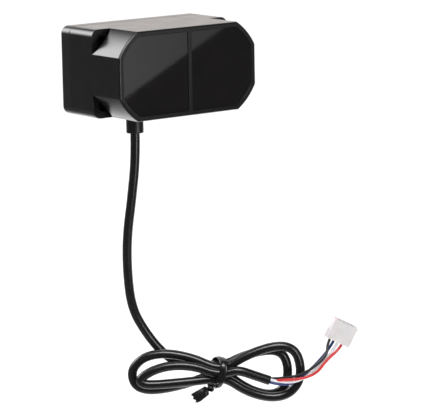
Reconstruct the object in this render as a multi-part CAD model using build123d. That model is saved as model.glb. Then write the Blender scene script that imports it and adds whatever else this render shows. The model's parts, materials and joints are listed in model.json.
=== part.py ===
from build123d import *
import math
import os

os.makedirs("parts", exist_ok=True)

# Compact two-window infrared distance sensor on a tied lead, in millimetres.
# +X is to the right and +Z is up as the windows are looked at, and the windows face -Y.
# The origin is the centre of the four mounting holes, on the back face.

# --- driving dimensions: the body -------------------------------------------------------------
WIDTH = 35.0
HEIGHT = 18.5
DEPTH = 21.0
CORNER_R = 1.7            # long edges of the rear block and the cover
BEVEL_X = 4.63            # each front corner is cut off by this much across the width
BEVEL_Z = 5.03            # and by this much down the height
BEVEL_BULGE = 0.45        # how far that cut bows outwards from its chord
EAR_FRONT = -11.4         # the rear block ends here, and its corners are the fixing ears
SEAM = -3.2               # joint between the housing and the back cover
WALL = 1.3
SEAM_V = 0.12             # bevel either side of the joint, which shows as a fine line
COVER_ROUND = 0.45        # edge of the back face
FRONT_ROUND = 0.35        # edge of the front rim

HOLE_X = 30.0             # fixing hole spacing across the width
HOLE_Z = 13.4             # and down the height
HOLE_R = 1.1
POCKET_R = 4.2            # screw-head pockets are short drums across each front corner
POCKET_REACH = 1.75       # how far a pocket reaches forwards of its ear
POCKET_FLOOR = 2.3        # how far its floor lies inside the corner cut

# --- front windows ---------------------------------------------------------------------------
RIM = 1.0
RIB = 0.9
RIB_X = 0.45              # the rib stands this far off the middle, towards the receiver
WINDOW_FRONT = -20.85
WINDOW_T = 0.9
TAPE_T = 0.15
FRONT_WALL_BACK = -18.6
WINDOW_GAP = 0.05

# --- optics, lamp side at -X and receiver side at +X ------------------------------------------
LENS_X = 7.5
LAMP_LENS_R = 4.7
EYE_LENS_R = 5.7
TUBE_WALL = 0.8
BORE_GAP = 0.1
HOLDER_BACK = -12.0
SLAB_FRONT = -14.4
LENS_SEAT = -16.2
LENS_EDGE = 1.0
LENS_RISE = 1.2
RING_W = 0.4
RING_T = 0.7

# --- boards ----------------------------------------------------------------------------------
OPTICS_BOARD_BACK = -11.0
LOGIC_BOARD_FRONT = -5.6
LOGIC_BOARD_BACK = -4.6
BOARD_GAP = 0.3
SCREW_X = 13.6
SCREW_R = 0.5
SPACER_R = 1.3
PIN_PITCH = 1.27
HEADER_X = 6.0
HEADER_Z = -5.4

# --- lead ------------------------------------------------------------------------------------
EXIT_X = -4.6
EXIT_Y = -7.8
FACE_Z = -HEIGHT / 2
GLAND_R = 1.83
GLAND_DROP = 4.5
LEAD_D = 2.0
CORE_D = 0.6
CORE_PITCH = 1.0
HANG_ANGLE = 37.2         # the hanging lead lies in an upright plane, turned this much from X

# Points of the hanging run: (across the hanging plane, behind it, height).
DROP_POINTS = [
    (0.0, 0.0, FACE_Z - GLAND_DROP),
    (0.0, 0.0, -19.2),
    (-1.0, 0.1, -27.7),
    (-2.3, 0.2, -36.6),
    (-2.3, 0.5, -45.1),
    (-1.3, 1.0, -52.1),
    (1.5, 1.8, -57.6),
    (4.9, 2.2, -61.8),
]
HANK_T = 6.4
LEFT_LOBE = (6.8, -65.9, 9.9, 5.5)        # middle across, middle height, half width, half height
RIGHT_LOBE = (26.3, -65.7, 9.3, 7.0)
WAIST = (12.0, 22.0, -68.8, -62.4)        # across from, across to, lowest, highest
TIE_AT = (17.1, -65.8)
TIE_W = 1.9
TIE_CORE = (5.0, 4.8)                     # the tied bundle: through the plane, and its height
TIE_T = 0.8
TAIL = [(17.0, -2.9, -68.0), (14.3, -3.4, -69.8), (11.4, -3.4, -71.6)]
TAIL_R = 0.55

PLUG_AT = (41.8, -2.2, -58.9)             # middle of the plug's wire side
PLUG_LEAN = 28.0                          # its row of wires slopes down by this many degrees
PLUG_TWIST = 8.0
PLUG_W, PLUG_T, PLUG_L = 5.4, 2.8, 4.4
CORE_RUNS = {
    "white": [(27.5, -2.35, -67.1), (30.6, -3.1, -67.7), (33.7, -3.7, -67.2), (36.6, -3.5, -65.5),
              (39.5, -3.1, -62.7)],
    "blue": [(27.5, -2.35, -67.7), (30.2, -3.0, -68.3), (32.8, -3.2, -67.6), (35.8, -2.6, -65.5),
             (39.0, -2.2, -62.2)],
    "black": [(27.5, -1.7, -67.1), (30.6, -2.9, -66.7), (33.6, -3.5, -66.1), (36.7, -3.7, -64.5),
              (39.8, -3.6, -61.7)],
    "red": [(27.5, -1.7, -67.7), (30.2, -3.5, -66.9), (33.8, -4.3, -66.7), (37.4, -4.3, -65.6),
            (39.7, -4.2, -62.5)],
}
CORE_ORDER = ["black", "blue", "white", "red"]


# --- helpers ---------------------------------------------------------------------------------
def slab(sketch, back, front):
    """A sketch drawn on the X-Z plane, made solid from y = back forwards to y = front."""
    return extrude(Plane.XZ.offset(-back) * sketch, back - front)


def rod(x, z, radius, back, front):
    """A round bar along Y."""
    return slab(Pos(x, z) * Circle(radius), back, front)


def block(x, z, wide, high, back, front):
    """A rectangular block, centred at x, z."""
    return slab(Pos(x, z) * Rectangle(wide, high), back, front)


def both_x_both_z():
    """The four corners' signs."""
    return [(sx, sz) for sx in (-1, 1) for sz in (-1, 1)]


def front_outline(inset=0.0):
    """The front block's section: a rectangle with its corners cut off along shallow arcs."""
    half_w = WIDTH / 2 - inset
    half_h = HEIGHT / 2 - inset
    cut_x = BEVEL_X - (2 - math.sqrt(2)) * inset
    cut_z = BEVEL_Z - (2 - math.sqrt(2)) * inset
    chord = math.hypot(cut_x, cut_z)
    bow = BEVEL_BULGE * chord / math.hypot(BEVEL_X, BEVEL_Z)
    top = [(-half_w + cut_x, half_h), (half_w - cut_x, half_h)]
    right = [(half_w, half_h - cut_z), (half_w, -half_h + cut_z)]
    low = [(half_w - cut_x, -half_h), (-half_w + cut_x, -half_h)]
    left = [(-half_w, -half_h + cut_z), (-half_w, half_h - cut_z)]
    sides = [top, right, low, left]
    lines = []
    for n, (side, after) in enumerate(zip(sides, sides[1:] + sides[:1])):
        start, end = side[1], after[0]
        out_x = math.copysign(cut_z / chord, start[0] + end[0])
        out_z = math.copysign(cut_x / chord, start[1] + end[1])
        middle = ((start[0] + end[0]) / 2 + bow * out_x, (start[1] + end[1]) / 2 + bow * out_z)
        lines.append(Line(side[0], side[1]))
        lines.append(ThreePointArc(start, middle, end))
    return make_face(Curve() + lines)


def cavity_outline(inset=0.0):
    """The hollow inside the housing: an octagon that leaves the fixing ears solid."""
    wide = WIDTH - 2 * WALL - 2 * inset
    high = HEIGHT - 2 * WALL - 2 * inset
    cut = 6.9 - (2 - math.sqrt(2)) * inset
    return chamfer(Rectangle(wide, high).vertices(), cut)


def rear_outline(inset=0.0):
    return RectangleRounded(WIDTH - 2 * inset, HEIGHT - 2 * inset, CORNER_R - inset)


def hang(across, behind, height):
    """A point of the hanging plane, in the part's own axes."""
    turn = math.radians(HANG_ANGLE)
    x = EXIT_X + across * math.cos(turn) + behind * math.sin(turn)
    y = EXIT_Y - across * math.sin(turn) + behind * math.cos(turn)
    return Vector(x, y, height)


def routed(points, diameter, name=None):
    """A round tube along straight runs, joined by arcs as large as the runs allow."""
    points = [Vector(p) for p in points]
    radii = []
    for before, here, after in zip(points, points[1:], points[2:]):
        turn = math.radians((here - before).get_angle(after - here))
        shorter = min((here - before).length, (after - here).length)
        radii.append(0.45 * shorter / math.tan(turn / 2))
    path = FilletPolyline(*points, radius=radii)
    if name:
        print(name, "length %.1f" % path.length, "radii", [round(r, 1) for r in radii])
    section = Plane(origin=points[0], z_dir=points[1] - points[0]) * Circle(diameter / 2)
    return sweep(section, path=path)


# --- the casing ------------------------------------------------------------------------------
def corner_pocket(sx, sz):
    """The drum that clears a screw head in front of one fixing ear."""
    chord = math.hypot(BEVEL_X, BEVEL_Z)
    out = Vector(sx * BEVEL_Z / chord, 0, sz * BEVEL_X / chord)
    middle = Vector(sx * (WIDTH - BEVEL_X) / 2, 0, sz * (HEIGHT - BEVEL_Z) / 2)
    centre = middle - out * POCKET_FLOOR + Vector(0, EAR_FRONT - POCKET_REACH + POCKET_R, 0)
    drum = extrude(Plane(origin=centre, z_dir=out) * Circle(POCKET_R), 3 * POCKET_FLOOR)
    return drum


def main_housing():
    """Rear block, narrower front block with its corner pockets, window seats and hollow."""
    front_block = slab(front_outline(), EAR_FRONT, -DEPTH)
    rim_edges = front_block.faces().sort_by(Axis.Y)[0].edges()
    front_block = fillet(rim_edges, FRONT_ROUND)
    for sx, sz in both_x_both_z():
        front_block -= corner_pocket(sx, sz)
    rear_block = slab(rear_outline(), SEAM, EAR_FRONT)
    seam_edges = rear_block.faces().sort_by(Axis.Y)[-1].edges()
    body = front_block + chamfer(seam_edges, SEAM_V)
    body -= slab(cavity_outline(), SEAM, FRONT_WALL_BACK)
    seat = slab(front_outline(RIM), WINDOW_FRONT + WINDOW_T + TAPE_T, -DEPTH)
    body -= seat - block(RIB_X, 0, RIB, HEIGHT, 0, -DEPTH)
    body -= rod(-LENS_X, 0, LAMP_LENS_R + BORE_GAP, 0, -DEPTH)
    body -= rod(LENS_X, 0, EYE_LENS_R + BORE_GAP, 0, -DEPTH)
    for sx, sz in both_x_both_z():
        body -= rod(sx * HOLE_X / 2, sz * HOLE_Z / 2, HOLE_R, SEAM, EAR_FRONT)
    body -= Pos(EXIT_X, EXIT_Y, FACE_Z) * Cylinder(GLAND_R - 0.13, 3 * WALL)
    return body


SPIGOT_IN = 1.3
SEAL_GROOVE = (0.5, 0.8)      # deep, long


def spigot_ring(outer, inner, back, front):
    return slab(cavity_outline(outer) - cavity_outline(inner), back, front)


def back_cover():
    """Plate with a hollow for tall parts, and a spigot that clamps the boards."""
    plate = slab(rear_outline(), 0, SEAM)
    plate = chamfer(plate.faces().sort_by(Axis.Y)[0].edges(), SEAM_V)
    plate = fillet(plate.faces().sort_by(Axis.Y)[-1].edges(), COVER_ROUND)
    plate -= slab(cavity_outline(SPIGOT_IN), -1.4, SEAM)
    plate += spigot_ring(BORE_GAP, SPIGOT_IN, SEAM, LOGIC_BOARD_BACK)
    deep, long = SEAL_GROOVE
    plate -= spigot_ring(0, BORE_GAP + deep, -3.5, -3.5 - long)
    for sx, sz in both_x_both_z():
        plate -= rod(sx * HOLE_X / 2, sz * HOLE_Z / 2, HOLE_R, 0, SEAM)
    return plate


def cover_seal():
    """Silicone ring in the spigot's groove, against the housing's hollow."""
    deep, long = SEAL_GROOVE
    return spigot_ring(0, BORE_GAP + deep, -3.5, -3.5 - long)


def half_front(inset, inner_x, side):
    """One side's half of the front outline, from inner_x off the rib's middle outwards."""
    keep = Pos(RIB_X + side * (inner_x + WIDTH / 2), 0) * Rectangle(WIDTH, 2 * HEIGHT)
    return front_outline(inset) & keep


def window(side):
    """Dark infrared-passing plate, set just behind the rim."""
    plate = half_front(RIM + WINDOW_GAP, RIB / 2 + WINDOW_GAP, side)
    return slab(plate, WINDOW_FRONT + WINDOW_T, WINDOW_FRONT)


def window_tape(side, bore):
    """Sealing tape between a window and its seat."""
    frame = half_front(RIM + 3 * WINDOW_GAP, RIB / 2 + 3 * WINDOW_GAP, side)
    frame -= Pos(side * LENS_X, 0) * Circle(bore + BORE_GAP)
    return slab(frame, WINDOW_FRONT + WINDOW_T + TAPE_T, WINDOW_FRONT + WINDOW_T)


# --- optics ----------------------------------------------------------------------------------
FILTER = (5.2, 0.5)           # side, thickness
EYE_THROAT_R = 3.6
LAMP_THROAT_R = 2.8
FILTER_SEAT = -13.6


def optics_holder():
    """Slab with a tube for each lens, on the optics board."""
    holder = slab(cavity_outline(BOARD_GAP), HOLDER_BACK, SLAB_FRONT)
    for x, radius, throat in ((-LENS_X, LAMP_LENS_R, LAMP_THROAT_R), (LENS_X, EYE_LENS_R, EYE_THROAT_R)):
        bore = radius + BORE_GAP
        holder += rod(x, 0, bore + TUBE_WALL, SLAB_FRONT, FRONT_WALL_BACK)
        holder -= rod(x, 0, bore, LENS_SEAT, FRONT_WALL_BACK)
        holder -= rod(x, 0, throat, HOLDER_BACK, LENS_SEAT)
    side = FILTER[0] + 2 * BORE_GAP
    holder -= block(LENS_X, 0, side, side, HOLDER_BACK, FILTER_SEAT)
    for side in (-1, 1):
        holder -= rod(side * SCREW_X, 0, SCREW_R, HOLDER_BACK, SLAB_FRONT + 0.4)
    return holder


def lens(x, radius):
    """Flat-backed lens, bulging forwards."""
    front_edge = LENS_SEAT - LENS_EDGE
    outline = Polyline((0, front_edge - LENS_RISE), (0, LENS_SEAT), (radius, LENS_SEAT), (radius, front_edge))
    ball = (radius**2 + LENS_RISE**2) / (2 * LENS_RISE)
    mid = radius / 2
    mid_y = front_edge - LENS_RISE + ball - math.sqrt(ball**2 - mid**2)
    bulge = ThreePointArc((radius, front_edge), (mid, mid_y), (0, front_edge - LENS_RISE))
    return Pos(x, 0, 0) * revolve(make_face(outline + bulge), Axis.Y)


def lens_ring(x, radius):
    """Ring that holds a lens against its seat."""
    inner = radius - RING_W
    ball = (radius**2 + LENS_RISE**2) / (2 * LENS_RISE)
    rise = LENS_RISE - ball + math.sqrt(ball**2 - inner**2)
    back = LENS_SEAT - LENS_EDGE - rise
    ring = Pos(x, 0) * (Circle(radius + BORE_GAP) - Circle(inner))
    return slab(ring, back, back - RING_T)


def light_baffle():
    """Black foam wall between the lamp side and the receiver side."""
    return block(-0.45, 0, 0.9, 15.2, SLAB_FRONT, FRONT_WALL_BACK)


def band_filter():
    return block(LENS_X, 0, FILTER[0], FILTER[0], FILTER_SEAT + FILTER[1], FILTER_SEAT)


# --- boards and what is on them --------------------------------------------------------------
def header_spots():
    return [HEADER_X + (n - 2.5) * PIN_PITCH for n in range(6)]


def board(back, front):
    """Circuit board with its screw holes and header holes."""
    sheet = slab(cavity_outline(BOARD_GAP), back, front)
    for side in (-1, 1):
        sheet -= rod(side * SCREW_X, 0, SCREW_R + 0.1, back, front)
    for x in header_spots():
        sheet -= block(x, HEADER_Z, 0.4, 0.4, back, front)
    return sheet


def header_body():
    """Plastic bar of the link between the two boards."""
    bar = block(HEADER_X, HEADER_Z, 6 * PIN_PITCH, 2.0, LOGIC_BOARD_FRONT, OPTICS_BOARD_BACK)
    for x in header_spots():
        bar -= block(x, HEADER_Z, 0.4, 0.4, LOGIC_BOARD_FRONT, OPTICS_BOARD_BACK)
    return bar


def header_pins():
    return Compound([block(x, HEADER_Z, 0.4, 0.4, LOGIC_BOARD_BACK + 0.6, HOLDER_BACK) for x in header_spots()])


def spacer(side):
    """Tube that holds the boards apart, round a screw."""
    ring = Pos(side * SCREW_X, 0) * (Circle(SPACER_R) - Circle(SCREW_R + 0.1))
    return slab(ring, LOGIC_BOARD_FRONT, OPTICS_BOARD_BACK)


def board_screws():
    """Two long screws from the rear board into the optics holder."""
    screws = []
    for side in (-1, 1):
        x = side * SCREW_X
        shank = rod(x, 0, SCREW_R, LOGIC_BOARD_BACK, -13.8)
        head = rod(x, 0, 1.05, LOGIC_BOARD_BACK + 0.7, LOGIC_BOARD_BACK)
        slot_a = block(x, 0, 1.3, 0.3, LOGIC_BOARD_BACK + 0.7, LOGIC_BOARD_BACK + 0.4)
        slot_b = block(x, 0, 0.3, 1.3, LOGIC_BOARD_BACK + 0.7, LOGIC_BOARD_BACK + 0.4)
        screws.append(shank + head - slot_a - slot_b)
    return Compound(screws)


def chip(x, z, wide, high, base, top):
    """A chip's moulded body, with its upper edges bevelled. top < base faces the front."""
    body = block(x, z, wide, high, max(base, top), min(base, top))
    face = body.faces().sort_by(Axis.Y)[0 if top < base else -1]
    return chamfer(face.edges(), 0.12)


def capacitors():
    """Chip capacitors on both sides of the rear board."""
    spots = [(-9.4, 3.6), (-9.4, 0.8), (-5.4, 5.4), (-1.6, 5.4)]
    rear = [block(x, z, 2.0, 1.25, LOGIC_BOARD_BACK + 0.9, LOGIC_BOARD_BACK) for x, z in spots]
    front = [block(x, -z, 2.0, 1.25, LOGIC_BOARD_FRONT, LOGIC_BOARD_FRONT - 0.9) for x, z in spots[:2]]
    return Compound(rear + front)


def resistors():
    """Chip resistors in a row on the rear board."""
    places = [(-7.0 + 2.3 * n, -5.2) for n in range(4)]
    places += [(9.2, 4.6 - 1.6 * n) for n in range(4)]
    return Compound([block(x, z, 1.6, 0.8, LOGIC_BOARD_BACK + 0.45, LOGIC_BOARD_BACK) for x, z in places])


def lead_socket():
    """Board socket for the inner plug, open downwards."""
    shell = block(EXIT_X, -0.2, 6.6, 4.4, LOGIC_BOARD_FRONT, LOGIC_BOARD_FRONT - 4.0)
    shell -= block(EXIT_X, -0.9, 5.8, 3.4, LOGIC_BOARD_FRONT - 0.6, LOGIC_BOARD_FRONT - 3.4)
    return shell


INNER_PLUG_LOW = -3.4
STUB_TOP = -6.3


def inner_plug():
    """Crimp housing in the board socket, with a hole for each wire."""
    mid = LOGIC_BOARD_FRONT - 2.0
    body = block(EXIT_X, (0.7 + INNER_PLUG_LOW) / 2, 5.6, 0.7 - INNER_PLUG_LOW, mid + 1.3, mid - 1.3)
    for x in core_offsets():
        body -= Pos(EXIT_X + x, mid, INNER_PLUG_LOW + 0.6) * Cylinder(CORE_D / 2, 1.2)
    return body


def core_offsets():
    return [(n - 1.5) * CORE_PITCH for n in range(4)]


def inner_core(n):
    """One wire from the lead's inner end up to the inner plug."""
    spread = 0.36
    x0 = EXIT_X + (-spread if n < 2 else spread)
    y0 = EXIT_Y + (-spread if n % 2 else spread)
    x1 = EXIT_X + core_offsets()[n]
    y1 = LOGIC_BOARD_FRONT - 2.0
    points = [(x0, y0, STUB_TOP), (x0, y0, STUB_TOP + 0.7), (x1, y1, INNER_PLUG_LOW - 0.6),
              (x1, y1, INNER_PLUG_LOW + 1.1)]
    return routed(points, CORE_D)


# --- the lead --------------------------------------------------------------------------------
def lead_gland():
    """Rubber boot through the bottom wall, with a lip inside."""
    boot = Pos(EXIT_X, EXIT_Y, FACE_Z - GLAND_DROP / 2) * Cylinder(GLAND_R, GLAND_DROP)
    boot = fillet(boot.faces().sort_by(Axis.Z)[0].edges(), 0.15)
    stem = Pos(EXIT_X, EXIT_Y, FACE_Z + WALL / 2) * Cylinder(GLAND_R - 0.13, WALL)
    lip = Pos(EXIT_X, EXIT_Y, FACE_Z + WALL + 0.4) * Cylinder(2.05, 0.8)
    hole = Pos(EXIT_X, EXIT_Y, FACE_Z) * Cylinder(LEAD_D / 2, 2 * DEPTH)
    return boot + stem + lip - hole


def lead_inner_end():
    """The jacket's end, through the boot and into the body."""
    low = FACE_Z - GLAND_DROP
    return Pos(EXIT_X, EXIT_Y, (low + STUB_TOP) / 2) * Cylinder(LEAD_D / 2, STUB_TOP - low)


def lead_clamp():
    """Crimped ring on the jacket that stops the lead pulling out."""
    ring = Cylinder(1.6, 0.7) - Cylinder(LEAD_D / 2, 0.7)
    return Pos(EXIT_X, EXIT_Y, FACE_Z + WALL + 0.8 + 0.35) * ring


def hang_plane(behind):
    """The hanging plane, pushed back by an amount, for drawing across and height on."""
    turn = math.radians(HANG_ANGLE)
    x_dir = Vector(math.cos(turn), -math.sin(turn), 0)
    return Plane(origin=hang(0, behind, 0), x_dir=x_dir, z_dir=x_dir.cross(Vector(0, 0, 1)))


def tie_box(deep, high):
    """A bar through the hanging plane at the tie, of the tie's width."""
    face = hang_plane(deep / 2) * Pos(TIE_AT[0], TIE_AT[1]) * Rectangle(TIE_W, high)
    return extrude(face, deep)


def lead_hank():
    """The outer shape of the looped and tied rest of the lead."""
    u0, u1, low, high = WAIST
    lobes = [Pos(u, z) * Ellipse(half_w, half_h) for u, z, half_w, half_h in (LEFT_LOBE, RIGHT_LOBE)]
    outline = lobes[0] + lobes[1] + Pos((u0 + u1) / 2, (low + high) / 2) * Rectangle(u1 - u0, high - low)
    hank = extrude(hang_plane(HANK_T / 2) * outline, HANK_T)
    deep, tall = TIE_CORE
    groove = tie_box(2 * HANK_T, 4 * HANK_T) - tie_box(deep, tall)
    return hank - groove


def hank_tie():
    """Band round the middle of the hank, with its twisted tail."""
    deep, tall = TIE_CORE
    band = tie_box(deep + 2 * TIE_T, tall + 2 * TIE_T) - tie_box(deep, tall)
    tail = routed([hang(*p) for p in TAIL], 2 * TAIL_R)
    return band + tail - lead_hank()


def plug_plane():
    """Plug's own axes: along its row of wires, through it, and out of its mating end."""
    turn = math.radians(HANG_ANGLE)
    across = Vector(math.cos(turn), -math.sin(turn), 0)
    behind = Vector(math.sin(turn), math.cos(turn), 0)
    up = Vector(0, 0, 1)
    lean = math.radians(PLUG_LEAN)
    twist = math.radians(PLUG_TWIST)
    row = across * math.cos(lean) - up * math.sin(lean)
    row = row * math.cos(twist) + behind * math.sin(twist)
    out = across * math.sin(lean) + up * math.cos(lean)
    return Plane(origin=hang(*PLUG_AT), x_dir=row, z_dir=out)


def plug_housing():
    """White four-way plug: wire holes behind, contact holes in front, a rib along each side."""
    body = Pos(0, 0, PLUG_L / 2) * Box(PLUG_W, PLUG_T, PLUG_L)
    body = chamfer(body.edges().filter_by(Axis.Z), 0.25)
    for side in (-1, 1):
        body += Pos(side * (PLUG_W / 2 - 0.2), 0, 0.9) * Box(0.9, 1.2, 1.8)
    body += Pos(0, PLUG_T / 2, PLUG_L - 1.3) * Box(PLUG_W - 2.4, 0.6, 0.9)
    for x in core_offsets():
        body -= Pos(x, 0, 0.6) * Cylinder(CORE_D / 2, 1.2)
        body -= Pos(x, 0, PLUG_L - 1.6) * Box(0.7, 1.3, 3.2)
    return plug_plane() * body


def plug_contacts():
    """Folded metal contacts inside the plug."""
    contacts = []
    for x in core_offsets():
        shell = Pos(x, 0, 2.7) * (Box(0.66, 1.1, 2.6) - Box(0.42, 0.8, 2.6))
        contacts.append(plug_plane() * shell)
    return Compound(contacts)


def core_ends(colour):
    """A point just outside a wire's hole in the plug, and one inside it."""
    offset = core_offsets()[CORE_ORDER.index(colour)]
    return [plug_plane().from_local_coords(Vector(offset, 0, along)) for along in (-1.4, 1.1)]


def lead_core(colour, hank):
    """One of the four coloured wires, from the lead's cut end to the plug."""
    points = [hang(*p) for p in CORE_RUNS[colour]] + core_ends(colour)
    wire = routed(points, CORE_D, "core " + colour) - hank
    return max(wire.solids(), key=lambda piece: piece.volume)


def write(name, shape):
    shape.label = name
    export_step(shape, "parts/" + name + ".step")


HANK = lead_hank()
PARTS = {
    "main_housing": main_housing(),
    "back_cover": back_cover(),
    "cover_seal": cover_seal(),
    "lamp_window": window(-1),
    "receiver_window": window(1),
    "lamp_window_tape": window_tape(-1, LAMP_LENS_R),
    "receiver_window_tape": window_tape(1, EYE_LENS_R),
    "light_baffle": light_baffle(),
    "optics_holder": optics_holder(),
    "lamp_lens": lens(-LENS_X, LAMP_LENS_R),
    "receiver_lens": lens(LENS_X, EYE_LENS_R),
    "lamp_lens_ring": lens_ring(-LENS_X, LAMP_LENS_R),
    "receiver_lens_ring": lens_ring(LENS_X, EYE_LENS_R),
    "band_filter": band_filter(),
    "optics_board": board(OPTICS_BOARD_BACK, HOLDER_BACK),
    "lamp_chip": chip(-LENS_X, 0, 3.0, 2.4, HOLDER_BACK, HOLDER_BACK - 0.9),
    "receiver_chip": chip(LENS_X, 0, 4.6, 4.6, HOLDER_BACK, HOLDER_BACK - 0.8),
    "logic_board": board(LOGIC_BOARD_BACK, LOGIC_BOARD_FRONT),
    "header_body": header_body(),
    "header_pins": header_pins(),
    "spacer_left": spacer(-1),
    "spacer_right": spacer(1),
    "board_screws": board_screws(),
    "processor_chip": chip(3.6, 0.6, 5.0, 5.0, LOGIC_BOARD_BACK, LOGIC_BOARD_BACK + 0.9),
    "lamp_driver_chip": chip(-9.5, 2.4, 3.0, 3.0, OPTICS_BOARD_BACK, OPTICS_BOARD_BACK + 0.8),
    "regulator_chip": chip(-2.8, 1.0, 3.0, 3.0, LOGIC_BOARD_BACK, LOGIC_BOARD_BACK + 0.8),
    "crystal": chip(3.6, 5.0, 3.2, 2.2, LOGIC_BOARD_BACK, LOGIC_BOARD_BACK + 0.7),
    "power_inductor": chip(5.6, 2.2, 4.0, 4.0, LOGIC_BOARD_FRONT, LOGIC_BOARD_FRONT - 2.4),
    "capacitors": capacitors(),
    "resistors": resistors(),
    "lead_socket": lead_socket(),
    "inner_plug": inner_plug(),
    "lead_gland": lead_gland(),
    "lead_clamp": lead_clamp(),
    "lead_inner_end": lead_inner_end(),
    "lead_hank": HANK,
    "hank_tie": hank_tie(),
    "lead_drop": routed([hang(*p) for p in DROP_POINTS], LEAD_D, "lead drop") - HANK,
    "plug_housing": plug_housing(),
    "plug_contacts": plug_contacts(),
}
for n, colour in enumerate(CORE_ORDER):
    PARTS["inner_core_" + colour] = inner_core(n)
    PARTS["lead_core_" + colour] = lead_core(colour, HANK)
for name, shape in PARTS.items():
    write(name, shape)
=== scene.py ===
import json
import math

import bmesh
import bpy
from mathutils import Matrix, Vector


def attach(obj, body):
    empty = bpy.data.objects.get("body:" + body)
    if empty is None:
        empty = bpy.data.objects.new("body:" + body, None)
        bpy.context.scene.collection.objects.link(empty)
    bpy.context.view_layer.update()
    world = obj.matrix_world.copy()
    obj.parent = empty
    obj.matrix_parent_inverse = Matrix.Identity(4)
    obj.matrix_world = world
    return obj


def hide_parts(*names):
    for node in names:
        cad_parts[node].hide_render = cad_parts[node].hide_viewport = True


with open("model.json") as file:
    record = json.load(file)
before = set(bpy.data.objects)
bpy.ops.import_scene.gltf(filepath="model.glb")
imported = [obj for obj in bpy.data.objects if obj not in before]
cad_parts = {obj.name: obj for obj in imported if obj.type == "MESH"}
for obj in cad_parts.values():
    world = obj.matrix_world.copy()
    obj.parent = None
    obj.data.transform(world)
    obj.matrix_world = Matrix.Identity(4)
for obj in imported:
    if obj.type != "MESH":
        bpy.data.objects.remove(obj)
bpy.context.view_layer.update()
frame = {"nodes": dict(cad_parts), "record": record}
NODES = frame["nodes"]
SLOT_OF = {part["node"]: part["material_slot"] for part in frame["record"]["subparts"]}
MM = 0.001

# ---------------------------------------------------------------------------------------------
# Camera, in metres: its place, the way it looks, its roll and its lens
# ---------------------------------------------------------------------------------------------
CAMERA_AT = Vector((-0.31848, -0.44902, 0.06883))
CAMERA_AIM = Vector((0.59454, 0.78389, -0.17901))
CAMERA_ROLL = math.radians(1.04)
CAMERA_LENS = 217.9


def make_camera():
    data = bpy.data.cameras.new("view")
    data.lens = CAMERA_LENS
    data.sensor_width = 36.0
    data.clip_start = 0.01
    camera = bpy.data.objects.new("view", data)
    bpy.context.scene.collection.objects.link(camera)
    turn = CAMERA_AIM.to_track_quat("-Z", "Y").to_matrix().to_4x4()
    roll = Matrix.Rotation(-CAMERA_ROLL, 4, "Z")
    camera.matrix_world = Matrix.Translation(CAMERA_AT) @ turn @ roll
    bpy.context.scene.camera = camera


# ---------------------------------------------------------------------------------------------
# The lead: its route is in an upright plane through its exit, as (across, behind, height) in mm
# ---------------------------------------------------------------------------------------------
EXIT_X = -4.6
EXIT_Y = -7.8
FACE_Z = -9.25
GLAND_DROP = 4.5
HANG_ANGLE = math.radians(37.2)           # between the plane and the front face
LEAD_D = 2.0                              # diameters
CORE_D = 0.6

DROP_POINTS = [
    (0.0, 0.0, FACE_Z - GLAND_DROP),
    (0.0, 0.0, -19.2),
    (-1.0, 0.1, -27.7),
    (-2.3, 0.2, -36.6),
    (-2.3, 0.5, -45.1),
    (-1.5, 1.6, -52.2),
    (1.3, 2.8, -57.7),
    (4.7, 3.2, -62.2),
    (8.6, 3.1, -65.0),
    (12.8, 2.2, -65.3),
]
TIE_ACROSS = 17.05
TIE_HALF = 1.4
# Where the five strands lie in the tied bundle: (behind, height).
BUNDLE = [(1.1, -64.4), (1.1, -66.4), (-0.9, -64.6), (-0.9, -67.1), (-2.1, -65.6)]
# One half turn each: reach past the tie (negative to the left), the far end's height, how far
# behind it lies there, and for its upper and lower runs how far each bows out and where: a bias
# over 1 bows out near the tie, and one under 1 near the far end.
LOOPS = [
    {"reach": 14.6, "end": -66.2, "behind": 1.1, "above": (4.5, 0.82), "below": (5.3, 0.95)},
    {"reach": -19.1, "end": -66.4, "behind": 1.1, "above": (4.35, 1.06), "below": (3.6, 0.85)},
    {"reach": 17.3, "end": -65.7, "behind": -1.0, "above": (5.65, 0.85), "below": (5.6, 1.05)},
    {"reach": -17.3, "end": -67.1, "behind": -1.1, "above": (2.8, 1.4), "below": (1.1, 0.7)},
]
LOOP_STEPS = 9
END_POINTS = [(20.8, -2.3, -64.9), (24.3, -2.2, -66.2), (27.5, -2.0, -67.4)]

CORE_ORDER = ["black", "blue", "white", "red"]
CORE_PITCH = 1.0
CORE_MEETS_PLUG = (-1.4, 1.1)             # along the plug: just outside a wire's hole, and inside
CORE_RUNS = {
    "white": [(27.5, -2.35, -67.1), (30.6, -3.1, -67.7), (33.7, -3.7, -67.2), (36.6, -3.5, -65.5),
              (39.5, -3.1, -62.7)],
    "blue": [(27.5, -2.35, -67.7), (30.2, -3.0, -68.3), (32.8, -3.2, -67.6), (35.8, -2.6, -65.5),
             (39.0, -2.2, -62.2)],
    "black": [(27.5, -1.7, -67.1), (30.6, -2.9, -66.7), (33.6, -3.5, -66.1), (36.7, -3.7, -64.5),
              (39.8, -3.6, -61.7)],
    "red": [(27.5, -1.7, -67.7), (30.2, -3.5, -66.9), (33.8, -4.3, -66.7), (37.4, -4.3, -65.6),
            (39.7, -4.2, -62.5)],
}
PLUG_AT = (41.8, -2.2, -58.9)
PLUG_LEAN = math.radians(28.0)
PLUG_TWIST = math.radians(8.0)


def hang(across, behind, height):
    """A point of the hanging plane, in the row frame, in metres."""
    x = EXIT_X + across * math.cos(HANG_ANGLE) + behind * math.sin(HANG_ANGLE)
    y = EXIT_Y - across * math.sin(HANG_ANGLE) + behind * math.cos(HANG_ANGLE)
    return Vector((x, y, height)) * MM


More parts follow.
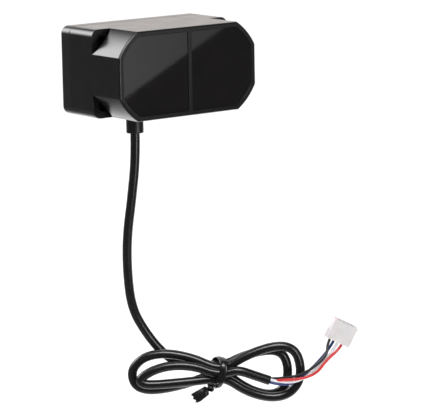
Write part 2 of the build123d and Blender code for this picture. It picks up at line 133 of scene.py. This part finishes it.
def loop_points(loop, start, end):
    """A half turn of the hank, out from the tie at start and back to it at end."""
    points = []
    for step in range(1, LOOP_STEPS + 1):
        s = step / (LOOP_STEPS + 1)
        out = math.sin(math.pi * s)
        upper = (s < 0.5) == (loop["reach"] > 0)
        bow, bias = loop["above"] if upper else loop["below"]
        rise = bow * math.sin(math.pi * abs(2 * s - 1) ** bias) * (1 if upper else -1)
        tie_height = start[1] * (1 - s) + end[1] * s
        tie_behind = start[0] * (1 - s) + end[0] * s
        middle = tie_height * (1 - out) + loop["end"] * out
        behind = tie_behind * (1 - out) + loop["behind"] * out
        points.append((TIE_ACROSS + loop["reach"] * out, behind, middle + rise))
    return points


def lead_route():
    """The whole lead's control points, from the boot to its cut end."""
    route = list(DROP_POINTS)
    for n, slot in enumerate(BUNDLE):
        rightward = n % 2 == 0
        sides = (-TIE_HALF, TIE_HALF) if rightward else (TIE_HALF, -TIE_HALF)
        route += [(TIE_ACROSS + side, slot[0], slot[1]) for side in sides]
        if n < len(LOOPS):
            route += loop_points(LOOPS[n], slot, BUNDLE[n + 1])
    return route + END_POINTS


def core_ends(colour):
    """A point just outside a wire's hole in the plug, and one inside it, in metres."""
    offset = (CORE_ORDER.index(colour) - (len(CORE_ORDER) - 1) / 2) * CORE_PITCH
    across = Vector((math.cos(HANG_ANGLE), -math.sin(HANG_ANGLE), 0))
    behind = Vector((math.sin(HANG_ANGLE), math.cos(HANG_ANGLE), 0))
    up = Vector((0, 0, 1))
    row = across * math.cos(PLUG_LEAN) - up * math.sin(PLUG_LEAN)
    row = row * math.cos(PLUG_TWIST) + behind * math.sin(PLUG_TWIST)
    out = across * math.sin(PLUG_LEAN) + up * math.cos(PLUG_LEAN)
    return [hang(*PLUG_AT) + (row * offset + out * along) * MM for along in CORE_MEETS_PLUG]


def cable(name, points, diameter):
    """A smooth round cable along its control points, in metres."""
    curve = bpy.data.curves.new(name, "CURVE")
    curve.dimensions = "3D"
    curve.bevel_depth = diameter / 2
    curve.bevel_resolution = 8
    curve.resolution_u = 10
    curve.use_fill_caps = True
    spline = curve.splines.new("NURBS")
    spline.points.add(len(points) - 1)
    for point, place in zip(spline.points, points):
        point.co = (*place, 1.0)
    spline.order_u = 3
    spline.use_endpoint_u = True
    piece = bpy.data.objects.new(name, curve)
    bpy.context.scene.collection.objects.link(piece)
    return piece


# ---------------------------------------------------------------------------------------------
# The tie: a plastic-covered wire tie round the hank, its two tails twisted and torn off
# ---------------------------------------------------------------------------------------------
TIE_MIDDLE = (16.35, -0.5, -65.8)
TIE_REACH = (2.95, 3.1)                   # half its depth and half its height, to its centre line
TIE_SQUARE = 2.6                          # 2 is an ellipse, and more is squarer
TIE_SLANT = 1.4                           # how far it leans along the hank, and where round it
TIE_TURN = math.radians(40)
TIE_WIDE = 1.6
TIE_THICK = 0.6
TIE_STEPS = 72
BAND_POINTS = 20                          # its cross-section, and how round that is both ways
BAND_ROUND = (0.7, 0.8)
BAND_FLAT = 0.32                          # shares of its thickness: the flat, and the bead on it
BAND_BEAD = 0.2
BEAD_WIDE = 0.28
TAIL_PATH = [(16.2, -3.2, -67.3), (15.2, -3.9, -68.2), (13.7, -4.1, -69.0), (11.5, -3.8, -70.6)]
TAIL_STEPS = 40
TAIL_SHORTER = 0.93                       # the second tail's length beside the first's
TAIL_WOUND = 0.62                         # the share of a tail that is wound round the other
TAIL_WIND = 2.6 * math.pi
TAIL_APART = 0.28                         # from the path, and how fast they splay once unwound
TAIL_SPLAY = 0.8
TAIL_WIDE = 1.9                           # its width, and how fast it grows, and from where
TAIL_WIDENS = 0.9
TAIL_WIDENS_FROM = 0.5
TAIL_THICK = TIE_THICK * 0.8
TORN_FROM = 0.9
TORN_GROWS = 10                           # which makes it 1 at the end
TORN_DEPTH = 0.3


def signed_power(value, power):
    return math.copysign(abs(value) ** power, value)


def band_section(middle, side, outward, wide, thick):
    """A flat band's cross-section, with the bead that its wire core makes."""
    points = []
    for step in range(BAND_POINTS):
        turn = 2 * math.pi * step / BAND_POINTS
        x = signed_power(math.cos(turn), BAND_ROUND[0]) * wide / 2
        edge = signed_power(math.sin(turn), BAND_ROUND[1]) * thick * BAND_FLAT
        bead = thick * BAND_BEAD * math.exp(-(x / BEAD_WIDE) ** 2) if edge else 0
        bead = math.copysign(bead, math.sin(turn))
        points.append(middle + (side * x + outward * (edge + bead)) * MM)
    return points


def skin(name, rings, closed=False):
    """A smooth closed mesh through rings of points."""
    mesh = bmesh.new()
    verts = [[mesh.verts.new(point) for point in ring] for ring in rings]
    if not closed:
        mesh.faces.new(verts[0])
        mesh.faces.new(list(reversed(verts[-1])))
    for near, far in zip(verts, verts[1:] + (verts[:1] if closed else [])):
        for k in range(len(near)):
            mesh.faces.new((near[k], near[k - 1], far[k - 1], far[k]))
    bmesh.ops.recalc_face_normals(mesh, faces=mesh.faces)
    for face in mesh.faces:
        face.smooth = True
    data = bpy.data.meshes.new(name)
    mesh.to_mesh(data)
    mesh.free()
    piece = bpy.data.objects.new(name, data)
    bpy.context.scene.collection.objects.link(piece)
    return piece


def plane_direction(across, behind, height):
    """A direction of the hanging plane as a unit vector."""
    return (hang(across, behind, height) - hang(0, 0, 0)).normalized()


def tie_loop():
    """The band's turn round the bundle, which crosses the front on a slant."""
    middles = []
    for step in range(TIE_STEPS):
        turn = 2 * math.pi * step / TIE_STEPS
        sizes = abs(math.cos(turn)) ** TIE_SQUARE + abs(math.sin(turn)) ** TIE_SQUARE
        squash = sizes ** (-1 / TIE_SQUARE)
        across = TIE_MIDDLE[0] + TIE_SLANT * math.cos(turn - TIE_TURN)
        behind = TIE_MIDDLE[1] - TIE_REACH[0] * squash * math.cos(turn)
        height = TIE_MIDDLE[2] + TIE_REACH[1] * squash * math.sin(turn)
        middles.append(hang(across, behind, height))
    rings = []
    heart = hang(*TIE_MIDDLE)
    flat = plane_direction(1, 0, 0)
    for n, middle in enumerate(middles):
        along = (middles[(n + 1) % TIE_STEPS] - middles[n - 1]).normalized()
        outward = middle - heart
        outward = (outward - flat * outward.dot(flat)).normalized()
        outward = (outward - along * outward.dot(along)).normalized()
        rings.append(band_section(middle, along.cross(outward), outward, TIE_WIDE, TIE_THICK))
    return skin("tie_loop", rings, closed=True)


def smooth_path(points, s):
    """A point of the soft curve that starts and ends at the first and last of four points."""
    a, b, c, d = points
    return a * (1 - s) ** 3 + b * 3 * s * (1 - s) ** 2 + c * 3 * s * s * (1 - s) + d * s ** 3


def tie_tail(number):
    """One of the two tails: wound round the other, then splayed, with a torn end."""
    path = [hang(*p) for p in TAIL_PATH]
    start = math.pi * number
    rings = []
    for step in range(TAIL_STEPS + 1):
        s = step / TAIL_STEPS
        reach = s * (TAIL_SHORTER if number else 1.0)
        ahead = smooth_path(path, min(1, reach + 0.02))
        along = (ahead - smooth_path(path, reach - 0.02)).normalized()
        first = along.cross(plane_direction(0, 1, 0)).normalized()
        second = along.cross(first)
        wound = min(s / TAIL_WOUND, 1.0)
        turn = start + TAIL_WIND * wound
        apart = TAIL_APART + TAIL_SPLAY * max(0, s - TAIL_WOUND)
        outward = first * math.cos(turn) + second * math.sin(turn)
        middle = smooth_path(path, reach) + outward * apart * MM
        wide = TAIL_WIDE + TAIL_WIDENS * max(0, s - TAIL_WIDENS_FROM)
        ring = band_section(middle, along.cross(outward), outward, wide, TAIL_THICK)
        torn = max(0, s - TORN_FROM) * TORN_GROWS
        rings.append([point + along * torn * TORN_DEPTH * math.sin(3 * k + number) * MM
                      for k, point in enumerate(ring)])
    return skin(f"tie_tail_{number + 1}", rings)


# ---------------------------------------------------------------------------------------------
# Materials
# ---------------------------------------------------------------------------------------------
class Finish:
    """One material's node tree. Its patterns lie on the piece's own place, in millimetres."""

    def __init__(self, name):
        self.material = bpy.data.materials.new(name)
        self.material.use_nodes = True
        self.tree = self.material.node_tree
        self.shader = self.tree.nodes["Principled BSDF"]
        place = self.node("TexCoord").outputs["Object"]
        in_mm = self.node("VectorMath", {0: place, "Scale": 1 / MM}, operation="SCALE")
        self.place = in_mm.outputs[0]

    def node(self, kind, sockets=None, **settings):
        """A new node, with numbers or links for its sockets."""
        node = self.tree.nodes.new("ShaderNode" + kind)
        for key, value in settings.items():
            setattr(node, key, value)
        for key, value in (sockets or {}).items():
            if isinstance(value, bpy.types.NodeSocket):
                self.tree.links.new(value, node.inputs[key])
            else:
                node.inputs[key].default_value = value
        return node

    def set(self, **values):
        """Numbers or sockets for the shader, by socket name with _ for a space."""
        for key, value in values.items():
            socket = self.shader.inputs[key.replace("_", " ")]
            if isinstance(value, bpy.types.NodeSocket):
                self.tree.links.new(value, socket)
            else:
                socket.default_value = value
        return self

    def noise(self, size, detail=2.0, stretch=(1, 1, 1)):
        """Clouds with lumps about size mm across."""
        place = self.node("VectorMath", {0: self.place, 1: stretch}, operation="MULTIPLY")
        sockets = {"Vector": place.outputs[0], "Scale": 1 / size, "Detail": detail}
        return self.node("TexNoise", sockets).outputs["Fac"]

    def cells(self, size):
        """The distance from the middle of the nearest of many cells about size mm across."""
        sockets = {"Vector": self.place, "Scale": 1 / size}
        return self.node("TexVoronoi", sockets).outputs["Distance"]

    def remap(self, value, low, high, to_low=0.0, to_high=1.0):
        """Value's range low to high, stretched to a new range and held at its ends."""
        sockets = {"Value": value, 1: low, 2: high, 3: to_low, 4: to_high}
        return self.node("MapRange", sockets).outputs[0]

    def maths(self, operation, first, second):
        return self.node("Math", {0: first, 1: second}, operation=operation).outputs[0]

    def mix(self, factor, first, second):
        first, second = [(*c, 1.0) if isinstance(c, tuple) else c for c in (first, second)]
        return self.node("Mix", {0: factor, 6: first, 7: second}, data_type="RGBA").outputs[2]

    def rounded(self, radius):
        """Normals as if every edge were rounded by radius mm."""
        return self.node("Bevel", {"Radius": radius * MM}, samples=6).outputs[0]

    def edges(self, radius):
        """1 along edges, within about radius mm of them, and 0 elsewhere."""
        flat = self.node("NewGeometry").outputs["Normal"]
        sockets = {0: self.rounded(radius), 1: flat}
        turned = self.node("VectorMath", sockets, operation="DOT_PRODUCT")
        return self.remap(turned.outputs["Value"], 0.8, 0.99, 1.0, 0.0)

    def bump(self, height, depth, under=None):
        """Normals of a relief depth mm deep, over the normals under it."""
        sockets = {"Height": height, "Distance": depth * MM}
        if under is not None:
            sockets["Normal"] = under
        return self.node("Bump", sockets).outputs[0]


def shade(colour, factor):
    return tuple(channel * factor for channel in colour)


MOTTLE = 0.08                             # how far flow marks change the colour and the gloss
GLOSS_SPREAD = 0.02


def moulded(name, colour, rough, grain=0.14, depth=0.002, edge=0.12, dust=0.12):
    """Moulded plastic: fine mould texture, flow marks, rubbed edges and a little dust."""
    f = Finish(name)
    flow = f.noise(5.0, 4)
    fine = f.noise(grain, 3)
    dark, pale = shade(colour, 1 - MOTTLE), shade(colour, 1 + MOTTLE)
    colour_here = f.mix(f.remap(flow, 0.3, 0.7), dark, pale)
    specks = f.remap(f.noise(0.35, 2), 0.71, 0.78, 0.0, dust)
    colour_here = f.mix(specks, colour_here, (0.2, 0.19, 0.18))
    rubbed = f.maths("MULTIPLY", f.edges(edge * 1.5), f.remap(f.noise(1.1, 3), 0.35, 0.65))
    colour_here = f.mix(f.maths("MULTIPLY", rubbed, 0.35), colour_here, shade(colour, 2.2))
    gloss = f.remap(flow, 0.3, 0.7, rough - GLOSS_SPREAD, rough + GLOSS_SPREAD)
    rough_here = f.maths("ADD", gloss, f.remap(fine, 0.3, 0.7, -0.03, 0.03))
    rough_here = f.maths("SUBTRACT", rough_here, f.maths("MULTIPLY", rubbed, 0.1))
    relief = f.bump(f.noise(6.0, 1), 0.008, f.rounded(edge))
    f.set(Base_Color=colour_here, Roughness=rough_here, Normal=f.bump(fine, depth, relief))
    return f


def turned_metal(name, colour, rough):
    """Metal with fine tool marks across Y, a few stains and bright edges."""
    f = Finish(name)
    marks = f.noise(0.06, 2, stretch=(0.15, 1.0, 0.15))
    stain = f.noise(1.5, 4)
    colour_here = f.mix(f.remap(stain, 0.4, 0.75), colour, shade(colour, 0.72))
    colour_here = f.mix(f.maths("MULTIPLY", f.edges(0.1), 0.5), colour_here, shade(colour, 1.15))
    f.set(Base_Color=colour_here, Metallic=1.0, Normal=f.bump(marks, 0.003, f.rounded(0.06)))
    f.set(Roughness=f.remap(stain, 0.3, 0.7, rough - 0.05, rough + 0.12))
    return f


def window_tint():
    """Polished dark plate that passes infrared: nearly a mirror, with hair-fine rubs and dust."""
    f = Finish("window_tint")
    rubs = f.noise(0.25, 3, stretch=(0.08, 1.0, 1.3))
    haze = f.noise(4.0, 4)
    dust = f.remap(f.noise(0.3, 2), 0.74, 0.78, 0.0, 0.35)
    dark, pale = (0.0052, 0.0046, 0.0047), (0.0068, 0.0058, 0.0058)
    colour = f.mix(f.remap(haze, 0.3, 0.7), dark, pale)
    f.set(Base_Color=f.mix(dust, colour, (0.05, 0.05, 0.05)), IOR=1.5)
    gloss = f.remap(haze, 0.3, 0.7, 0.015, 0.035)
    f.set(Roughness=f.maths("ADD", gloss, f.remap(rubs, 0.66, 0.8, 0.0, 0.1)))
    f.set(Normal=f.bump(rubs, 0.0004, f.rounded(0.06)))
    return f


def lens_clear():
    """Clear moulded lens, faintly hazed, with a coating that tints its glint."""
    f = Finish("lens_clear")
    haze = f.noise(1.5, 3)
    f.set(Base_Color=f.mix(haze, (0.93, 0.95, 0.97), (0.99, 0.99, 1.0)))
    f.set(IOR=1.49, Transmission_Weight=0.94)
    f.set(Roughness=f.remap(haze, 0.3, 0.7, 0.01, 0.05), Coat_Weight=0.6, Coat_Roughness=0.03)
    f.set(Coat_Tint=(0.75, 0.8, 1.0, 1.0))
    f.set(Normal=f.bump(f.noise(0.6, 2), 0.0008, f.rounded(0.08)))
    return f


def filter_glass():
    """Thin coated glass that looks deep red-violet."""
    f = Finish("filter_glass")
    bloom = f.noise(1.2, 3)
    f.set(Base_Color=f.mix(bloom, (0.10, 0.012, 0.03), (0.17, 0.02, 0.07)))
    f.set(IOR=1.9, Transmission_Weight=0.35, Coat_Weight=0.8, Coat_Tint=(0.8, 0.6, 1.0, 1.0))
    f.set(Roughness=f.remap(bloom, 0.3, 0.7, 0.02, 0.06))
    f.set(Normal=f.bump(f.noise(0.4, 2), 0.0005, f.rounded(0.05)))
    return f


def board_green():
    """Solder mask over copper tracks, on glass-fibre board whose cut edges show its weave."""
    f = Finish("board_green")
    cut = f.edges(0.1)
    layout = {"Vector": f.place, "Scale": 0.8, "Mortar Size": 0.04, "Mortar": (0, 0, 0, 1),
              "Color1": (1, 1, 1, 1), "Color2": (0.7, 0.7, 0.7, 1)}
    tracks = f.node("TexBrick", layout).outputs["Color"]
    vias = f.remap(f.cells(1.9), 0.08, 0.12, 1.0, 0.0)
    weave = f.noise(0.2, 2, stretch=(1, 1, 0.3))
    mask = f.mix(tracks, (0.006, 0.075, 0.03), (0.012, 0.15, 0.055))
    mask = f.mix(vias, mask, (0.55, 0.4, 0.18))
    mask = f.mix(f.remap(weave, 0.45, 0.7, 0.0, 0.3), mask, (0.008, 0.05, 0.022))
    f.set(Base_Color=f.mix(f.maths("MULTIPLY", cut, 0.5), mask, (0.42, 0.4, 0.22)))
    f.set(Roughness=f.remap(weave, 0.3, 0.7, 0.22, 0.38))
    f.set(Normal=f.bump(tracks, 0.02, f.rounded(0.05)))
    return f


def speckled(name, colour, grain_colour, rough):
    """Fired ceramic, with its grain and tinned edges."""
    f = Finish(name)
    grain = f.noise(0.12, 3)
    ends = f.edges(0.18)
    body = f.mix(f.remap(grain, 0.4, 0.65), colour, grain_colour)
    f.set(Base_Color=f.mix(ends, body, (0.62, 0.6, 0.57)))
    f.set(Metallic=f.maths("MULTIPLY", ends, 0.9))
    f.set(Roughness=f.remap(grain, 0.3, 0.7, rough - 0.08, rough + 0.08))
    f.set(Normal=f.bump(grain, 0.006, f.rounded(0.05)))
    return f


def foam(name, colour):
    """Closed-cell foam tape."""
    f = Finish(name)
    cells = f.cells(0.09)
    f.set(Base_Color=f.mix(f.remap(cells, 0.1, 0.6), shade(colour, 0.6), shade(colour, 1.6)))
    f.set(Roughness=f.remap(cells, 0.0, 0.6, 0.95, 0.75))
    f.set(Normal=f.bump(cells, 0.03, f.rounded(0.05)))
    return f


def nylon(name, colour):
    """Milky moulded nylon: light goes a little way in, and its corners are rounded."""
    f = Finish(name)
    milk = f.noise(1.6, 3)
    fine = f.noise(0.1, 2)
    pale = f.mix(f.remap(milk, 0.3, 0.7), shade(colour, 0.94), shade(colour, 1.04))
    grime = f.remap(f.noise(0.6, 4), 0.62, 0.8, 0.0, 0.25)
    f.set(Base_Color=f.mix(grime, pale, (0.5, 0.47, 0.46)))
    f.set(Subsurface_Weight=0.5, Subsurface_Scale=0.0006)
    f.set(Roughness=f.remap(milk, 0.3, 0.7, 0.36, 0.5))
    f.set(Normal=f.bump(fine, 0.004, f.rounded(0.16)))
    return f


def jacket(name, colour, rough):
    """Extruded cable jacket: soft gloss, shallow dents from the wires inside, scuffs and dust."""
    f = Finish(name)
    dents = f.noise(1.8, 2)
    fine = f.noise(0.16, 3)
    scuffs = f.remap(f.noise(0.9, 4), 0.66, 0.76)
    broad = f.remap(f.noise(7.0, 3), 0.3, 0.7)
    colour_here = f.mix(broad, shade(colour, 0.85), shade(colour, 1.15))
    colour_here = f.mix(f.maths("MULTIPLY", scuffs, 0.25), colour_here, shade(colour, 2.0))
    specks = f.remap(f.noise(0.22, 2), 0.72, 0.78, 0.0, 0.3)
    f.set(Base_Color=f.mix(specks, colour_here, (0.25, 0.24, 0.23)))
    gloss = f.remap(fine, 0.3, 0.7, rough - 0.04, rough + 0.04)
    f.set(Roughness=f.maths("ADD", gloss, f.maths("MULTIPLY", scuffs, 0.12)))
    f.set(Normal=f.bump(fine, 0.002, f.bump(dents, 0.015)))
    return f


def wire_skin(name, colour):
    """Thin insulation on one wire."""
    f = Finish(name)
    fine = f.noise(0.12, 2)
    broad = f.noise(1.5, 3)
    f.set(Base_Color=f.mix(f.remap(broad, 0.3, 0.7), shade(colour, 0.82), shade(colour, 1.1)))
    f.set(Roughness=f.remap(broad, 0.3, 0.7, 0.3, 0.42), Normal=f.bump(fine, 0.004))
    return f


MATERIALS = {
    "housing_plastic": moulded("housing_plastic", (0.0052, 0.0052, 0.0056), 0.23),
    "cover_plastic": moulded("cover_plastic", (0.0085, 0.0085, 0.009), 0.24),
    "window_tint": window_tint(),
    "black_foam": foam("black_foam", (0.012, 0.012, 0.012)),
    "seal_silicone": moulded("seal_silicone", (0.16, 0.165, 0.17), 0.5, grain=0.3, edge=0.05),
    "holder_plastic": moulded("holder_plastic", (0.01, 0.01, 0.01), 0.5, grain=0.1, depth=0.008),
    "lens_clear": lens_clear(),
    "ring_metal": turned_metal("ring_metal", (0.06, 0.06, 0.065), 0.35),
    "filter_glass": filter_glass(),
    "board_green": board_green(),
    "chip_black": moulded("chip_black", (0.018, 0.018, 0.02), 0.5, grain=0.08, depth=0.006,
                          edge=0.06, dust=0.1),
    "part_ceramic": speckled("part_ceramic", (0.42, 0.29, 0.17), (0.55, 0.42, 0.28), 0.45),
    "resistor_body": speckled("resistor_body", (0.012, 0.012, 0.014), (0.04, 0.04, 0.045), 0.3),
    "pin_gold": turned_metal("pin_gold", (0.83, 0.6, 0.25), 0.24),
    "can_metal": turned_metal("can_metal", (0.62, 0.62, 0.6), 0.28),
    "screw_steel": turned_metal("screw_steel", (0.5, 0.5, 0.49), 0.3),
    "spacer_brass": turned_metal("spacer_brass", (0.72, 0.5, 0.2), 0.3),
    "socket_nylon": nylon("socket_nylon", (0.68, 0.65, 0.66)),
    "gland_rubber": moulded("gland_rubber", (0.0045, 0.0045, 0.0047), 0.4, grain=0.2,
                            depth=0.004, dust=0.2),
    "lead_jacket": jacket("lead_jacket", (0.0062, 0.0062, 0.0065), 0.25),
    "tie_plastic": jacket("tie_plastic", (0.006, 0.006, 0.0063), 0.22),
    "core_white": wire_skin("core_white", (0.82, 0.83, 0.87)),
    "core_blue": wire_skin("core_blue", (0.012, 0.032, 0.15)),
    "core_black": wire_skin("core_black", (0.016, 0.016, 0.02)),
    "core_red": wire_skin("core_red", (0.62, 0.022, 0.02)),
    "contact_tin": turned_metal("contact_tin", (0.66, 0.65, 0.62), 0.25),
}


def dress(piece, slot):
    """Gives a new piece its slot's material and puts it on the one body."""
    piece.data.materials.append(MATERIALS[slot].material)
    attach(piece, "root")


# ---------------------------------------------------------------------------------------------
# Studio, in metres
# ---------------------------------------------------------------------------------------------
FLOOR_Z = -0.13
FLOOR_SIZE = 12
SKY_STRENGTH = 1.1
FLAG_DISTANCE = 0.55
FLAG_STRENGTH = 0.12
FLAG_STEPS = 24
# The slanting edge that both windows mirror, from its low end to its high end.
GLINT_LOW = Vector((156.7, -263.7, -44.6)) * MM
GLINT_HIGH = Vector((191.3, -257.7, -24.9)) * MM
GLINT_TALL = 0.06


def direction(azimuth, elevation):
    """A unit vector: azimuth 0 is +Y, behind the object, and 90 is +X, in degrees."""
    a, e = math.radians(azimuth), math.radians(elevation)
    return Vector((math.sin(a) * math.cos(e), math.cos(a) * math.cos(e), math.sin(e)))


def glow(name, strength, colour=(1, 1, 1), fade=0.0, slope=None):
    """Plain light. It may fade towards the card's edges, or slope along X, where slope says
    from which X to which, and from which strength to which."""
    material = bpy.data.materials.new(name)
    material.use_nodes = True
    tree = material.node_tree
    tree.nodes.clear()
    light = tree.nodes.new("ShaderNodeEmission")
    light.inputs["Color"].default_value = (*colour, 1.0)
    light.inputs["Strength"].default_value = strength
    out = tree.nodes.new("ShaderNodeOutputMaterial")
    tree.links.new(light.outputs[0], out.inputs["Surface"])
    if fade:
        place = tree.nodes.new("ShaderNodeTexCoord")
        length = tree.nodes.new("ShaderNodeVectorMath")
        length.operation = "LENGTH"
        ramp = tree.nodes.new("ShaderNodeMapRange")
        ramp.interpolation_type = "SMOOTHSTEP"
        ramp.inputs[1].default_value = 1.0 - fade
        ramp.inputs[2].default_value = 1.0
        ramp.inputs[3].default_value = strength
        ramp.inputs[4].default_value = 0.0
        tree.links.new(place.outputs["Object"], length.inputs[0])
        tree.links.new(length.outputs["Value"], ramp.inputs[0])
        tree.links.new(ramp.outputs[0], light.inputs["Strength"])
    if slope:
        place = tree.nodes.new("ShaderNodeTexCoord")
        parts = tree.nodes.new("ShaderNodeSeparateXYZ")
        ramp = tree.nodes.new("ShaderNodeMapRange")
        for n, value in enumerate(slope):
            ramp.inputs[n + 1].default_value = value
        tree.links.new(place.outputs["Object"], parts.inputs[0])
        tree.links.new(parts.outputs["X"], ramp.inputs[0])
        tree.links.new(ramp.outputs[0], light.inputs["Strength"])
    return material


def floor_flag(name, west, east, south, north, slope):
    """A card just above the floor that only gloss sees, in metres."""
    corners = [(west, south), (east, south), (east, north), (west, north)]
    verts = [(x, y, FLOOR_Z + 0.002) for x, y in corners]
    return staged(name, verts, [(0, 1, 2, 3)], glow(name, 1.0, slope=slope), True)


def staged(name, verts, faces, material, only_gloss):
    """A light card or a flag: never seen itself, and felt only by gloss if so asked."""
    mesh = bpy.data.meshes.new(name)
    mesh.from_pydata([tuple(v) for v in verts], [], faces)
    mesh.materials.append(material)
    piece = bpy.data.objects.new(name, mesh)
    bpy.context.scene.collection.objects.link(piece)
    piece.visible_camera = False
    piece.visible_shadow = False
    piece.visible_diffuse = not only_gloss
    return piece


def card(name, azimuth, elevation, distance, wide, high, material, only_gloss=False):
    """A flat rectangle that faces the object, and that is 2 by 2 in its own frame."""
    out = direction(azimuth, elevation)
    corners = [(-1, -1, 0), (1, -1, 0), (1, 1, 0), (-1, 1, 0)]
    piece = staged(name, corners, [(0, 1, 2, 3)], material, only_gloss)
    turn = out.to_track_quat("Z", "Y").to_matrix().to_4x4()
    size = Matrix.Diagonal((wide / 2, high / 2, 1, 1))
    piece.matrix_world = Matrix.Translation(out * distance) @ turn @ size
    return piece


def flag_wall(name, azimuths, elevations):
    """A dark curved wall that only gloss sees."""
    verts = []
    for high in elevations:
        for n in range(FLAG_STEPS + 1):
            azimuth = azimuths[0] + (azimuths[1] - azimuths[0]) * n / FLAG_STEPS
            verts.append(direction(azimuth, high) * FLAG_DISTANCE)
    faces = []
    for row in range(len(elevations) - 1):
        for n in range(FLAG_STEPS):
            corner = row * (FLAG_STEPS + 1) + n
            above = corner + FLAG_STEPS + 1
            faces.append((corner, corner + 1, above + 1, above))
    return staged(name, verts, faces, glow(name, FLAG_STRENGTH), True)


def pane_glint():
    """The pale card that both windows mirror above a slanting edge."""
    run = GLINT_HIGH - GLINT_LOW
    rise = Vector((0, 0, GLINT_TALL))
    ends = [GLINT_LOW - run * 0.8, GLINT_HIGH + run * 1.2]
    verts = [ends[0], ends[1], ends[1] + rise, ends[0] + rise]
    light = glow("pane_glint", 1.0, slope=(0.15, 0.2, 1.2, 0.6))
    return staged("pane_glint", verts, [(0, 1, 2, 3)], light, True)


def studio():
    """Pale floor and soft light, with dark flags that only gloss sees."""
    bpy.ops.mesh.primitive_plane_add(size=FLOOR_SIZE, location=(0, 0, FLOOR_Z))
    floor = bpy.context.object
    floor.name = "floor"
    paper = Finish("floor_paper")
    shades = (0.94, 0.94, 0.94), (0.96, 0.96, 0.96)
    paper.set(Base_Color=paper.mix(paper.noise(40.0, 3), *shades), Roughness=0.9)
    floor.data.materials.append(paper.material)
    world = bpy.data.worlds.new("studio")
    bpy.context.scene.world = world
    world.use_nodes = True
    sky = world.node_tree.nodes["Background"]
    sky.inputs["Color"].default_value = (1.0, 1.0, 1.0, 1.0)
    sky.inputs["Strength"].default_value = SKY_STRENGTH
    card("back_softbox", -30, 27, 0.7, 1.17, 0.65, glow("back_softbox", 9.0, fade=1.0))
    card("horizon", 40, 8, 0.9, 0.9, 0.22, glow("horizon", 1.15, (1.0, 0.93, 0.9)), True)
    card("front_strip", 176, 2, 0.36, 0.1, 0.5, glow("front_strip", 10.0, fade=0.6), True)
    card("top_softbox", 217, 46, 0.4, 0.5, 0.28, glow("top_softbox", 15.0, fade=0.8), True)
    pane_glint()
    flag_wall("front_flag", (80, 280), (-19, 0, 20, 40, 60, 80))
    flag_wall("left_flag", (280, 355), (-19, -10, 0, 8))
    floor_flag("left_floor", -0.7, 0.075, -0.05, 0.6, (-0.06, 0.07, 0.25, 2.2))
    floor_flag("front_floor", -0.7, 0.7, -0.7, -0.055, (-0.7, 0.7, FLAG_STRENGTH, FLAG_STRENGTH))


bpy.context.scene.view_settings.view_transform = "Standard"
make_camera()
lead = cable("lead", [hang(*p) for p in lead_route()], LEAD_D * MM)
wires = {}
for colour in CORE_ORDER:
    run = [hang(*p) for p in CORE_RUNS[colour]] + core_ends(colour)
    wires[colour] = cable("wire_" + colour, run, CORE_D * MM)
tie = [tie_loop(), tie_tail(0), tie_tail(1)]

for node, piece in NODES.items():
    for socket in piece.material_slots:
        socket.material = MATERIALS[SLOT_OF[node]].material

dress(lead, "lead_jacket")
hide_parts("lead_drop", "lead_hank")
for colour, wire in wires.items():
    dress(wire, "core_" + colour)
    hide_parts("lead_core_" + colour)
for piece in tie:
    dress(piece, "tie_plastic")
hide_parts("hank_tie")
studio()
